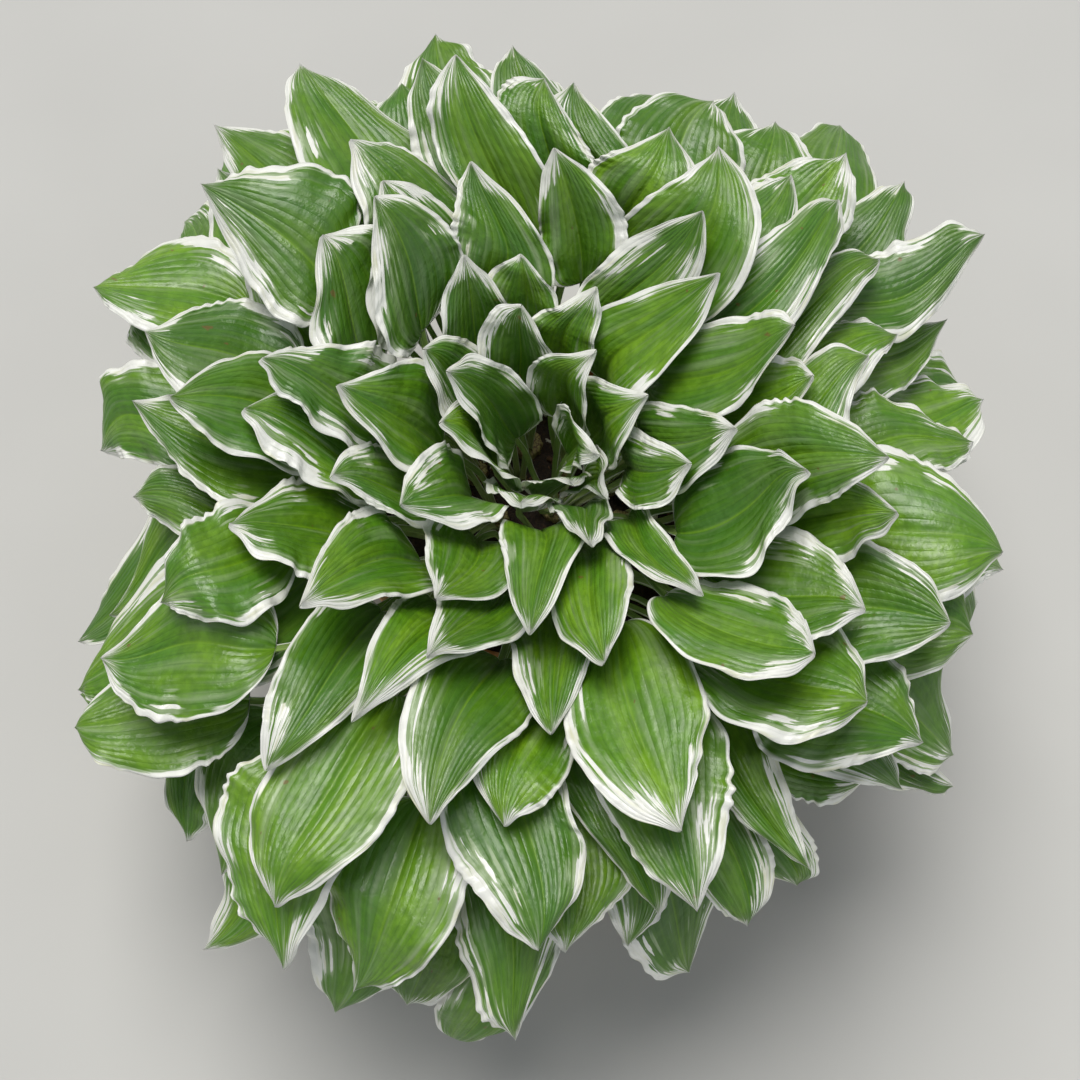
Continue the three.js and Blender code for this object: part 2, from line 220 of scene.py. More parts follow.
MIDRIB_DEPTH = 1.9
MIDRIB_THIN = 0.8
MIDRIB_SINK = 4
SECTION_STEPS = 7
KEEL_ROUND = 0.8

# Crown, pot and soil, in their fine form. The soil's clods are noise of a given roughness, spacing
# and number of octaves. A crumb is a rounded cube, stretched and dented by waves.
CENTRE = 0.8
CROWN_FOOT_ROUND = 2
CROWN_TOP_ROUND = 4
CROWN_BEND_STEPS = 5
CROWN_RIBS = 11
CROWN_RIB = 0.1
CROWN_TWIST = 30
PROFILE_STEP = 6
OVAL = 0.7
OVAL_FACING = 0.8
WAVER = 0.25
WAVERS = 5
WAVER_CLIMB = 40
WEAR_DEPTH = 9
LIP_WEAR = 1.6
CHIPS = (7, 16)
CHIP_FROM = 0.35
BEND_STEPS = 6
DRAIN_SIDES = 24
SOIL_SHOULDER = 4
CLOD = 9
CLOD_MIDDLE = 0.4
CLOD_NOISE = (0.6, 2.3, 4)
CRUMB_SMALL = 1.5
CRUMB_LARGE = 6
CRUMB_RARITY = 3
CRUMB_STRETCH = ((1, 2.2), (0.7, 1.2), (0.5, 0.9))
CRUMB_POINTS = 4
CRUMB_ROUND = 0.75
CRUMB_DENT = 0.18
CRUMB_DENTS = 3
CRUMB_DENT_SHIFT = 7
SOIL_TONE = 0.2
CRUMB_TONES = (0.3, 1)

# Bake map: margins round what lies in a cell, the row of a shoot's map that its crown takes, where
# a leaf's three parts lie in its cell, each as (start, share), and the cells of the other pieces.
CAP_MARGIN = 0.015
RIM_MARGIN = 0.012
CROWN_ROW = 0.06
CROWN_CELL = (0.02, 0.01, 0.96, CROWN_ROW - 0.02)
CELL_ROWS = (0.04, 0.92)
CELL_COLUMNS = ((0.02, 0.42), (0.48, 0.42), (0.93, 0.05))
POT_CELL = (0.02, 0.06, 0.96, 0.9)
DRAIN_CELL = (0.02, 0.005, 0.2, 0.04)
DRAIN_CELL_STEP = 0.24
SOIL_CELL = (0.02, 0.06, 0.96, 0.7)
CRUMB_CELL = (0.1, 0.8, 0.8, 0.1)


def ease(share):
    """A smooth step from 0 to 1, level at both ends."""
    share = np.clip(share, 0, 1)
    return share * share * (3 - 2 * share)


def lerp(low, high, share):
    """The value at a share of the way from low to high."""
    return low + (high - low) * share


# ---- the rule that places the leaves ----


class RandomRow:
    """A repeatable row of numbers from 0 to 1."""

    def __init__(self, seed):
        self.state = seed
        for _ in range(SEED_SKIP):
            self.next()

    def next(self):
        self.state = (self.state * DRAW_FACTOR) % DRAW_RANGE
        return self.state / DRAW_RANGE

    def either(self, most):
        """From -most to most."""
        return (2 * self.next() - 1) * most


def slope_at(slope, fall):
    """In radians, for a leaf that has fallen so many degrees from upright."""
    upright, loss = slope
    return math.radians(upright - loss * fall)


class Shoot:
    """A short crown in the soil, with the leaves that grow from it."""

    def __init__(self, index):
        distance = SHOOT_CIRCLE * math.sqrt((index + 0.5) / SHOOTS)
        self.name = f"shoot_{index + 1:02d}"
        self.x = distance * math.cos(index * GOLDEN_ANGLE)
        self.y = distance * math.sin(index * GOLDEN_ANGLE)
        self.leaves = []

    def settle(self):
        """The crown stands in the middle of its leaves' roots, and is just wide enough for them."""
        roots = np.array([place(leaf, 0, 0, 0) for leaf in self.leaves])
        self.x, self.y = roots[:, :2].mean(axis=0)
        reach = np.hypot(roots[:, 0] - self.x, roots[:, 1] - self.y).max()
        self.radius = reach * (1 - PETIOLE_GATHER) + CROWN_MARGIN


def nearest(shoots, x, y):
    """The shoot that a root belongs to, where the middle shoot draws them from further off."""

    def distance(shoot):
        pull = HEART_PULL if shoot is shoots[0] else 1
        return math.hypot(shoot.x - x, shoot.y - y) * pull

    return min(shoots, key=distance)


class Leaf:
    """Where one leaf grows, and its own sizes. The draws come in the order that the model's do."""

    def __init__(self, index, shoots, row):
        share = (index + 0.5) / LEAVES
        heading = index * GOLDEN_ANGLE
        self.root_radius = CROWN_RADIUS * math.sqrt(share)
        x = self.root_radius * math.cos(heading)
        y = self.root_radius * math.sin(heading)
        self.shoot = nearest(shoots, x, y)
        jittered = min(max(share + row.either(LEAN_JITTER), 0), 1)
        lean = LEAN_MOST * jittered**LEAN_POWER
        held = 1 - BACK_HOLD * (1 + math.sin(heading)) / 2
        fall = lean * held - FRONT_LEAN * math.sin(heading) * ease(lean / FRONT_LEAN_FULL)
        grown = ease(lean / YOUNG_LEAN)
        calm = self.calm = lerp(YOUNG_CALM, 1, grown)
        outer = ease(lean / HEART_LEAN)
        self.root_slope = slope_at(ROOT_SLOPE, fall)
        self.base_slope = slope_at(BASE_SLOPE, fall)
        self.tip_slope = slope_at(TIP_SLOPE, fall)
        size = 1 + row.either(VARY_SIZE)
        breadth = size * lerp(YOUNG_WIDTH, 1, grown)
        self.reach = PETIOLE_LENGTH * lerp(YOUNG_PETIOLE, 1, grown)
        self.length = BLADE_LENGTH * size * lerp(YOUNG_LENGTH, FULL_LENGTH, grown)
        self.azimuth = heading + math.radians(row.either(VARY_AZIMUTH))
        self.petiole = self.reach * (1 + row.either(VARY_PETIOLE)) * lerp(HEART_PETIOLE, 1, outer)
        self.half_width = BLADE_HALF_WIDTH * breadth * (1 + row.either(VARY_WIDTH))
        self.yaw = math.radians(row.either(VARY_YAW)) * lerp(HEART_YAW, 1, outer)
        self.roll = math.radians(row.either(VARY_ROLL)) * calm
        fold = lerp(FOLD_YOUNG, FOLD_FULL, ease(lean / FOLD_LEAN))
        self.fold = fold * (1 + row.either(VARY_FOLD))
        self.wave = WAVE_HEIGHT * (1 + row.either(VARY_WAVE)) * calm
        self.waves = WAVES_LEAST + row.next() * WAVES_MORE
        self.left_phase = row.next()
        self.right_phase = row.next()
        self.sweep = row.either(VARY_SWEEP) * calm
        self.tip = row.either(VARY_TIP) * calm
        self.twist = math.radians(row.either(VARY_TWIST)) * calm

    def draw_detail(self, row):
        """What only the fine leaf has."""
        self.tone = row.next()
        self.ruffles = [RUFFLES_LEAST + row.next() * RUFFLES_MORE for _ in "lr"]
        self.ruffle_phases = [row.next() for _ in "lr"]
        self.hook = TIP_HOOK * row.next()
        self.bulge = BULGE * self.calm * (0.5 + row.next())


def arc(slope, bend, length):
    """How far out and up an arc ends, and its slope there."""
    end = slope + bend * length
    return (np.sin(end) - np.sin(slope)) / bend, (np.cos(slope) - np.cos(end)) / bend, end


def curve_point(leaf, along):
    """The leaf's own curve: one arc over the petiole's usual reach, and one over the blade's."""
    stem_bend = (leaf.base_slope - leaf.root_slope) / leaf.reach
    blade_bend = (leaf.tip_slope - leaf.base_slope) / BLADE_LENGTH
    stem_out, stem_up, stem_slope = arc(leaf.root_slope, stem_bend, np.minimum(along, leaf.reach))
    past = np.maximum(along - leaf.reach, 0)
    blade_out, blade_up, blade_slope = arc(leaf.base_slope, blade_bend, past)
    slope = np.where(past > 0, blade_slope, stem_slope)
    return leaf.root_radius + stem_out + blade_out, stem_up + blade_up, slope


def swayed(point):
    """Bends the clump by slow waves, leans it forward and pushes out its lobes."""
    share = ease((np.linalg.norm(point, axis=-1) - SWAY_FROM) / SWAY_GROWTH)
    moved = point.copy()
    for push, run, phase in SWAY_WAVES:
        swing = SWAY * share * np.sin(2 * np.pi * (point @ np.array(run)) / SWAY_LENGTH + phase)
        moved += swing[..., None] * np.array(push)
    moved[..., 1] -= FORWARD_SHEAR * point[..., 2]
    azimuth = np.arctan2(moved[..., 1], moved[..., 0])
    lobe = 1.0
    for count, reach, facing in LOBES:
        lobe = lobe + share * reach * np.cos(count * (azimuth - math.radians(facing)))
    moved[..., 0] *= lobe
    moved[..., 1] *= lobe * DEPTH_SHARE
    return moved


def place(leaf, along, across, lift):
    """The point at a distance along the leaf's curve, across it and off its surface."""
    radius, height, slope = curve_point(leaf, along)
    round_radius = np.maximum(radius, TIGHTEST_ROUND)
    azimuth = leaf.azimuth + across / round_radius
    out = round_radius - np.sin(slope) * lift
    middle = radius - round_radius
    x = middle * math.cos(leaf.azimuth) + out * np.cos(azimuth)
    y = middle * math.sin(leaf.azimuth) + out * np.sin(azimuth)
    z = height + np.cos(slope) * lift
    return swayed(np.stack(np.broadcast_arrays(x, y, z), axis=-1))


def fades(share):
    """What waves and ruffles rise from at the base of the blade, and fall back to at its tip."""
    return ease(share / WAVE_RISE) * ease((1 - share) / WAVE_FADE)


def half_width(leaf, share):
    """From the midrib to the margin."""
    ovate = np.sin(np.pi * np.clip(share, 0, 1) ** OUTLINE_SKEW) ** OUTLINE_ROUND
    point = 1 - POINT_DRAW * ease((share - POINT_FROM) / (1 - POINT_FROM))
    return leaf.half_width * ovate * point + BLADE_BASE_HALF * (1 - share)


def vein_number(share, side):
    """Veins lie at whole numbers, the midrib at 0, and the outer ones run out into the margin."""
    return side * VEINS_TO_MARGIN * lerp(1 / VEINS_AT_BASE, 1 / VEINS_AT_TIP, share)


def ruffle_at(leaf, share, side):
    """The fine ruffle of the margin, from -1 to 1."""
    left = side < 0
    count = np.where(left, leaf.ruffles[0], leaf.ruffles[1])
    phase = np.where(left, leaf.ruffle_phases[0], leaf.ruffle_phases[1])
    uneven = RUFFLE_UNEVEN * np.sin(2 * np.pi * (RUFFLE_DRIFT * share + phase))
    swing = np.sin(2 * np.pi * (count * share + uneven + phase))
    swell = (1 + np.sin(2 * np.pi * (RUFFLE_SWELL * share + 3 * phase))) / 2
    return swing * swell * np.abs(side) ** RUFFLE_POWER * fades(share)


def blade_point(leaf, share, side, lift):
    """A point at a share of the blade's length, with side from -1 to 1 between the margins."""
    half = half_width(leaf, share)
    off = np.abs(side)
    fold = leaf.fold * lerp(1, FOLD_AT_TIP, ease(share / FOLD_REACH))
    phase = np.where(side < 0, leaf.left_phase, leaf.right_phase)
    ripple = np.sin(2 * np.pi * (leaf.waves * share + phase))
    roll = leaf.roll * ease(share / ROLL_REACH) + leaf.twist * share
    lift = lift + fold * off * half
    lift = lift - CUP * off * off * ease(CUP_RATE * share)
    lift = lift + leaf.wave * fades(share) * off**WAVE_POWER * ripple
    lift = lift + np.tan(roll) * side * half
    lift = lift + leaf.tip * share**3

    ruffle = ruffle_at(leaf, share, side)
    midrib = np.exp(-((side * half / MIDRIB_HALF) ** 2)) * ease(MIDRIB_FADE * (1 - share))
    hook = ease((share - TIP_HOOK_FROM) / (1 - TIP_HOOK_FROM)) ** 2
    lift = lift + RUFFLE_HEIGHT * leaf.calm**2 * ruffle
    domed = off * (1 - off) * ease(share / BULGE_RISE) * ease((1 - share) / BULGE_RISE)
    lift = lift + 4 * leaf.bulge * domed
    lift = lift - MIDRIB_FURROW * midrib - leaf.hook * hook

    ahead = share * leaf.length
    aside = side * half * (1 + RUFFLE_SCALLOP * ruffle) + leaf.sweep * share * share
    along = leaf.petiole + ahead * math.cos(leaf.yaw) - aside * math.sin(leaf.yaw)
    across = ahead * math.sin(leaf.yaw) + aside * math.cos(leaf.yaw)
    return place(leaf, along, across, lift)


def petiole_point(leaf, share, aside, lift):
    """A point of the petiole, which starts at its shoot and eases out to the leaf's own curve."""
    along = share * leaf.petiole
    across = (along - leaf.petiole) * math.tan(leaf.yaw) * share * share
    point = place(leaf, np.where(share > 0, along, PETIOLE_ROOT), across + aside, lift)
    root = place(leaf, 0, 0, 0)
    gathered = PETIOLE_GATHER * (1 - ease(share / PETIOLE_GATHERED))
    point[..., 0] += (leaf.shoot.x - root[0]) * gathered
    point[..., 1] += (leaf.shoot.y - root[1]) * gathered
    return point


# ---- meshes ----

VALUES = ("margin", "vein", "tone")


def add_object(name, data):
    """Puts a mesh, lamp or camera into the scene."""
    thing = bpy.data.objects.new(name, data)
    bpy.context.scene.collection.objects.link(thing)
    return thing


class Fabric:
    """Gathers grids of points into one mesh, with a pattern map, a bake map and values."""

    def __init__(self):
        self.points = []
        self.values = []
        self.faces = []
        self.pattern = []
        self.bake = []
        self.slots = []
        self.smooth = []
        self.count = 0

    def add_points(self, points, values):
        """Keeps points with their VALUES, and returns the number of the first one."""
        first = self.count
        self.points.append(points.reshape(-1, 3))
        self.values.append(np.broadcast_to(values, points.shape).reshape(-1, 3))
        self.count += len(self.points[-1])
        return first

    def add_faces(self, corners, pattern, bake, slot, smooth=True):
        """Corners are point numbers, four to a face, and the maps hold a place for each of them."""
        corners = corners.reshape(-1, 4)
        self.faces.append(corners)
        self.pattern.append(pattern.reshape(-1, 2))
        self.bake.append(bake.reshape(-1, 2))
        self.slots.append(np.full(len(corners), slot))
        self.smooth.append(np.full(len(corners), smooth))

    def build(self, name, materials):
        """Makes the gathered grids into one object, in metres."""
        mesh = bpy.data.meshes.new(name)
        points = np.concatenate(self.points) * MM
        mesh.from_pydata(points.tolist(), [], np.concatenate(self.faces).tolist())
        for map_name, corners in (("Pattern", self.pattern), ("OFBake", self.bake)):
            layer = mesh.uv_layers.new(name=map_name)
            layer.data.foreach_set("uv", np.concatenate(corners).astype(np.float32).ravel())
        values = np.concatenate(self.values).astype(np.float32)
        for column, value_name in enumerate(VALUES):
            attribute = mesh.attributes.new(value_name, "FLOAT", "POINT")
            attribute.data.foreach_set("value", values[:, column].copy())
        for material in materials:
            mesh.materials.append(material)
        slots = np.concatenate(self.slots).astype(np.int32)
        mesh.polygons.foreach_set("material_index", slots)
        mesh.polygons.foreach_set("use_smooth", np.concatenate(self.smooth).astype(bool))
        mesh.update()
        return add_object(name, mesh)


def grid_corners(index):
    """The quads between neighbours in a grid of point numbers."""
    return np.stack([index[:-1, :-1], index[1:, :-1], index[1:, 1:], index[:-1, 1:]], axis=-1)


def grid_places(rows, columns):
    """The places of the same quads' corners, from the places of the grid's rows and columns."""
    down, over = np.meshgrid(rows, columns, indexing="ij")
    at = np.stack([over, down], axis=-1)
    return np.stack([at[:-1, :-1], at[1:, :-1], at[1:, 1:], at[:-1, 1:]], axis=-2)


def into_cell(places, cell):
    """Places from 0 to 1 put into a cell (left, low, width, height) of the bake map."""
    left, low, width, height = cell
    return places * np.array([width, height]) + np.array([left, low])


def add_tube(fabric, rings, values, cell, slot=0):
    """A closed skin over rings of points, each counted anticlockwise as seen from the last ring."""
    rows, columns = rings.shape[:2]
    first = fabric.add_points(rings, values)
    index = first + np.arange(rows * columns).reshape(rows, columns)
    steps = np.linalg.norm(np.diff(rings, axis=0), axis=-1).mean(axis=1)
    down = np.concatenate([[0], np.cumsum(steps)]) / steps.sum()
    over = np.linspace(0, 1, columns + 1)
    corners = grid_corners(np.concatenate([index, index[:, :1]], axis=1))[..., ::-1]
    places = grid_places(down, over)[..., ::-1, :]
    fabric.add_faces(corners, places, into_cell(places, cell), slot)

    half = columns // 2
    near = np.arange(half)
    for row, outward in ((0, -1), (rows - 1, 1)):
        left, right = index[row, near], index[row, columns - 1 - near]
        corners = np.stack([left[:-1], left[1:], right[1:], right[:-1]], axis=-1)
        low = np.stack([near / half, np.full(half, down[row])], axis=-1)
        high = low + np.array([0, outward * CAP_MARGIN])
        places = np.stack([low[:-1], low[1:], high[1:], high[:-1]], axis=-2)
        if outward < 0:
            corners, places = corners[:, ::-1], places[:, ::-1]
        fabric.add_faces(corners, places, into_cell(places, cell), slot)


def turned(profile, sides, wobble=None):
    """Rings of points round the Z axis from a profile of (radius, height) points."""
    angle = np.linspace(0, 2 * np.pi, sides, endpoint=False)
    radius = np.array([point[0] for point in profile])[:, None] * np.ones(sides)
    height = np.array([point[1] for point in profile])[:, None] * np.ones(sides)
    if wobble is not None:
        radius, height = wobble(radius, height, angle[None, :])
    return np.stack([radius * np.cos(angle), radius * np.sin(angle), height], axis=-1)


def rounded(points, steps):
    """A profile with its stretches divided: each point is (radius, height, how far to round it)."""
    places = [np.array(point[:2], float) for point in points]
    profile = [places[0]]
    for number in range(1, len(points) - 1):
        reach = points[number][2]
        before, corner, after = places[number - 1], places[number], places[number + 1]
        start = corner + (before - corner) * min(reach / np.linalg.norm(before - corner), 0.5)
        end = corner + (after - corner) * min(reach / np.linalg.norm(after - corner), 0.5)
        for share in np.linspace(0, 1, steps) if reach else (0.5,):
            profile.append(lerp(lerp(start, corner, share), lerp(corner, end, share), share))
    profile.append(places[-1])
    divided = [profile[0]]
    for start, end in zip(profile[:-1], profile[1:]):
        count = max(1, round(np.linalg.norm(end - start) / PROFILE_STEP))
        divided += [lerp(start, end, (step + 1) / count) for step in range(count)]
    return divided


# ---- leaves ----

SLOT_UPPER, SLOT_UNDER, SLOT_PETIOLE, SLOT_CROWN = range(4)


def add_blade(fabric, leaf, upper_cell, under_cell):
    """Both faces of a blade, joined by a thin flat rim."""
    steps = np.linspace(0, 1, ALONG_STEPS + 1)
    share = BLADE_END * lerp(steps, (1 - np.cos(np.pi * steps)) / 2, END_CROWDING)
    side = np.linspace(-1, 1, ACROSS_STEPS + 1)
    side = lerp(side, np.sin(np.pi / 2 * side), EDGE_CROWDING)
    shares, sides = np.meshgrid(share, side, indexing="ij")
    margin = half_width(leaf, shares) * (1 - np.abs(sides))
    tone = np.full_like(shares, leaf.tone)
    values = np.stack([margin, vein_number(shares, sides), tone], axis=-1)
    lift = BLADE_THICKNESS / 2 * lerp(BLADE_RIM, 1, ease(margin / BLADE_RIM_REACH))
    first = fabric.add_points(blade_point(leaf, shares, sides, lift), values)
    below = fabric.add_points(blade_point(leaf, shares, sides, -lift), values)
    upper = first + np.arange(shares.size).reshape(shares.shape)
    under = upper + below - first
    over = (side + 1) / 2
    places = grid_places(share, over)
    turned_over = places[..., ::-1, :]
    fabric.add_faces(grid_corners(upper), places, into_cell(places, upper_cell), SLOT_UPPER)
    corners = grid_corners(under)[..., ::-1]
    fabric.add_faces(corners, turned_over, into_cell(turned_over, under_cell), SLOT_UNDER)

    at = np.stack(np.meshgrid(over, share), axis=-1)
    edges = (
        (np.s_[::-1, 0], (-1, 0)),
        (np.s_[:, -1], (1, 0)),
        (np.s_[0, :], (0, -1)),
        (np.s_[-1, ::-1], (0, 1)),
    )
    for edge, outward in edges:
        high, low, inner = upper[edge], under[edge], at[edge]
        outer = inner + np.array(outward) * RIM_MARGIN
        corners = np.stack([high[:-1], high[1:], low[1:], low[:-1]], axis=-1)
        pattern = np.stack([inner[:-1], inner[1:], inner[1:], inner[:-1]], axis=-2)
        bake = np.stack([inner[:-1], inner[1:], outer[1:], outer[:-1]], axis=-2)
        fabric.add_faces(corners, pattern, into_cell(bake, upper_cell), SLOT_UPPER, smooth=False)


def petiole_section(half, depth, channel):
    """Once round a petiole: the keel from left to right, then back across the channel."""
    turn = np.linspace(0, np.pi, SECTION_STEPS)
    back = np.linspace(1, -1, SECTION_STEPS + 2)[1:-1]
    aside = np.concatenate([-half * np.cos(turn), half * back])
    keel = -depth * np.clip(np.sin(turn), 0, 1) ** KEEL_ROUND
    return aside, np.concatenate([keel, -channel * (1 - back * back)])


def add_petiole(fabric, leaf, cell):
    """A channelled stalk from the crown to the blade, which runs on under it as the midrib."""
    rings = []
    for share in np.linspace(0, 1, PETIOLE_STEPS + 1):
        flare = 1 + PETIOLE_FLARE * (1 - share) ** PETIOLE_FLARE_POWER
        aside, lift = petiole_section(PETIOLE_HALF_WIDTH * flare, PETIOLE_DEPTH, PETIOLE_CHANNEL)
        rings.append(petiole_point(leaf, share, aside, lift))
    for step in np.linspace(0, 1, MIDRIB_STEPS + 1)[1:]:
        share = MIDRIB_END * step
        thin = 1 - MIDRIB_THIN * step
        depth = lerp(PETIOLE_DEPTH, MIDRIB_DEPTH, ease(MIDRIB_SINK * step)) * thin
        aside, lift = petiole_section(BLADE_BASE_HALF * thin, depth, 0)
        rings.append(blade_point(leaf, share, aside / half_width(leaf, share), lift))
    rings = np.array(rings)
    around = np.linspace(0, 1, rings.shape[1], endpoint=False)
    values = np.stack(np.broadcast_arrays(0.0, around, leaf.tone), axis=-1)
    add_tube(fabric, rings, values, cell, SLOT_PETIOLE)


def add_crown(fabric, shoot, cell):
    """The short stock that the petioles spring from, ribbed by their old bases."""
    corners = (
        (CENTRE, -SHOOT_DEPTH, 0),
        (shoot.radius, -SHOOT_DEPTH, CROWN_FOOT_ROUND),
        (shoot.radius, SHOOT_TOP, CROWN_TOP_ROUND),
        (CENTRE, SHOOT_TOP, 0),
    )

    def ribbed(radius, height, angle):
        rib = 1 - CROWN_RIB * np.abs(np.sin(angle * CROWN_RIBS / 2 + height / CROWN_TWIST))
        return radius * rib, height

    rings = turned(rounded(corners, CROWN_BEND_STEPS), CROWN_SIDES, ribbed)
    add_tube(fabric, rings + np.array([shoot.x, shoot.y, 0]), 0.5, cell, SLOT_CROWN)


def leaf_cells(number, count):
    """Three cells of the bake map for one leaf of several: upper face, underside and petiole."""
    columns = math.ceil(math.sqrt(count))
    rows = math.ceil(count / columns)
    width = 1 / columns
    height = (1 - CROWN_ROW) / rows
    left = (number % columns) * width
    low = CROWN_ROW + (number // columns) * height
    up, tall = CELL_ROWS
    return [
        (left + start * width, low + up * height, wide * width, tall * height)
        for start, wide in CELL_COLUMNS
    ]


def make_shoot(shoot, materials):
    """One leafy shoot: its blades and petioles on their crown."""
    fabric = Fabric()
    for number, leaf in enumerate(shoot.leaves):
        upper_cell, under_cell, petiole_cell = leaf_cells(number, len(shoot.leaves))
        add_blade(fabric, leaf, upper_cell, under_cell)
        add_petiole(fabric, leaf, petiole_cell)
    add_crown(fabric, shoot, CROWN_CELL)
    for points in fabric.points:
        points[:, 2] += SOIL_LEVEL
    piece = fabric.build(f"leafy_{shoot.name}", materials)
    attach(piece, "root")
    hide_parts(shoot.name)


# ---- pot and soil ----


def wall_radius(height):
    """Of the pot's outside, under its collar or in line with it."""
    return lerp(POT_FOOT_RADIUS, POT_NECK_RADIUS, height / (POT_HEIGHT - COLLAR_HEIGHT))


def bore_radius(height):
    """Of the pot's inside."""
    return wall_radius(height) - POT_WALL


def make_pot(material):
    """Thrown and fired by hand: a little out of round, with a worn lip."""
    collar = POT_HEIGHT - COLLAR_HEIGHT
    neck = wall_radius(collar)
    rim = wall_radius(POT_HEIGHT)
    corners = (
        (CENTRE, 0, 0),
        (POT_FOOT_RADIUS, 0, FOOT_BEVEL),
        (neck, collar, FOOT_BEVEL),
        (neck + COLLAR_STEP, collar + FOOT_BEVEL, FOOT_BEVEL),
        (rim + COLLAR_STEP, POT_HEIGHT, LIP_ROUND),
        (rim - POT_WALL, POT_HEIGHT, LIP_ROUND),
        (bore_radius(POT_FLOOR), POT_FLOOR, LIP_ROUND),
        (CENTRE, POT_FLOOR, 0),
    )

    def handmade(radius, height, angle):
        oval = OVAL * np.cos(2 * angle + OVAL_FACING) * height / POT_HEIGHT
        waver = WAVER * np.sin(WAVERS * angle + height / WAVER_CLIMB)
        wall = (radius > POT_FOOT_RADIUS / 2) & (height > FOOT_BEVEL / 3)
        near_lip = 1 - ease((POT_HEIGHT - height) / WEAR_DEPTH)
        chips = np.sin(CHIPS[0] * angle) * np.sin(CHIPS[1] * angle + 1)
        worn = LIP_WEAR * near_lip * np.clip(chips - CHIP_FROM, 0, 1)
        return radius + (oval + waver) * wall, height - worn

    fabric = Fabric()
    rings = turned(rounded(corners, BEND_STEPS), POT_SIDES, handmade)
    add_tube(fabric, rings, 0.5, POT_CELL)
    piece = fabric.build("terracotta_pot", [material])
    for hole in range(DRAIN_HOLES):
        drill(piece, (hole + 0.5) * 2 * math.pi / DRAIN_HOLES, hole, material)
    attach(piece, "root")
    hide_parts("pot")


def drill(piece, angle, number, material):
    """Cuts one drain hole through the pot's floor."""
    low, high = -POT_FLOOR, 2 * POT_FLOOR
    corners = ((CENTRE, low), (DRAIN_RADIUS, low), (DRAIN_RADIUS, high), (CENTRE, high))
    centre = np.array([DRAIN_CIRCLE * math.cos(angle), DRAIN_CIRCLE * math.sin(angle), 0])
    fabric = Fabric()
    cell = (DRAIN_CELL[0] + DRAIN_CELL_STEP * number, *DRAIN_CELL[1:])
    add_tube(fabric, turned(corners, DRAIN_SIDES) + centre, 0.5, cell)
    cutter = fabric.build("drain_cutter", [material])
    cut = piece.modifiers.new("drain", "BOOLEAN")
    cut.operation = "DIFFERENCE"
    cut.solver = "EXACT"
    cut.object = cutter
    graph = bpy.context.evaluated_depsgraph_get()
    cut_mesh = bpy.data.meshes.new_from_object(piece.evaluated_get(graph))
    piece.modifiers.clear()
    old_mesh, piece.data = piece.data, cut_mesh
    cut_mesh.name = piece.name
    bpy.data.meshes.remove(old_mesh)
    bpy.data.objects.remove(cutter)


def soil_height(x, y):
    """The surface of the soil, with clods of several sizes."""
    share = math.hypot(x, y) / bore_radius(SOIL_LEVEL)
    clods = noise.fractal(Vector((x / CLOD, y / CLOD, 0)), *CLOD_NOISE)
    return SOIL_LEVEL - SOIL_MOUND * share * share + CLOD_HEIGHT * (clods - CLOD_MIDDLE)


def lump():
    """A rounded cube a millimetre across, as its points and the corners of its quads."""
    steps = np.linspace(-1, 1, CRUMB_POINTS)
    first, second = np.meshgrid(steps, steps, indexing="ij")
    points, faces = [], []
    for axis in range(3):
        for face in (-1, 1):
            patch = np.stack([first, second, np.full_like(first, face)], axis=-1)
            patch = np.roll(patch, axis + 1, axis=-1)
            index = np.arange(first.size).reshape(first.shape) + first.size * len(points)
            corners = grid_corners(index).reshape(-1, 4)
            faces.append(corners if face > 0 else corners[:, ::-1])
            points.append(patch.reshape(-1, 3))
    points = np.concatenate(points)
    shared, which = np.unique(np.round(points, 5), axis=0, return_inverse=True)
    corners = which.reshape(-1)[np.concatenate(faces)]
    roundness = np.linalg.norm(shared, axis=1, keepdims=True) ** CRUMB_ROUND
    return shared / (2 * roundness), corners


def make_soil(material):
    """Potting soil: a cloddy surface strewn with crumbs, chips of bark and a few white grains."""
    low = POT_FLOOR + GAP
    edge = SOIL_LEVEL - SOIL_MOUND
    reach = bore_radius(edge) - GAP
    profile = [(CENTRE, low), (bore_radius(low) - GAP, low), (reach, edge - SOIL_SHOULDER)]
    profile += [(reach * math.sqrt(1 - ring / SOIL_RINGS), edge) for ring in range(SOIL_RINGS)]
    profile.append((CENTRE, edge))
    rings = turned(profile, SOIL_SIDES)
    for ring in rings[3:]:
        for point in ring:
            point[2] = soil_height(point[0], point[1])
    fabric = Fabric()
    add_tube(fabric, rings, SOIL_TONE, SOIL_CELL)

    row = RandomRow(DETAIL_SEED)
    shape, corners = lump()
    for _ in range(CRUMBS):
        distance = (reach - CRUMB_LARGE) * math.sqrt(row.next())
        angle = 2 * math.pi * row.next()
        size = lerp(CRUMB_SMALL, CRUMB_LARGE, row.next() ** CRUMB_RARITY)
        stretch = np.array([lerp(low, high, row.next()) for low, high in CRUMB_STRETCH])
        turn = 2 * math.pi * row.next()
        tone = row.next()
        crumb = shape * size * stretch
        dents = np.sin(CRUMB_DENTS * crumb[:, [1, 2, 0]] + CRUMB_DENT_SHIFT * tone)
        crumb = crumb * (1 + CRUMB_DENT * dents)
        cos, sin = math.cos(turn), math.sin(turn)
        spun = crumb @ np.array([[cos, sin, 0], [-sin, cos, 0], [0, 0, 1]])
        x, y = distance * math.cos(angle), distance * math.sin(angle)
        middle = np.array([x, y, soil_height(x, y)])
        first = fabric.add_points(spun + middle, lerp(*CRUMB_TONES, tone))
        places = np.full((len(corners), 4, 2), 0.5)
        fabric.add_faces(corners + first, places, into_cell(places, CRUMB_CELL), 0)
    piece = fabric.build("soil_surface", [material])
    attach(piece, "root")
    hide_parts("soil")


# ---- materials ----

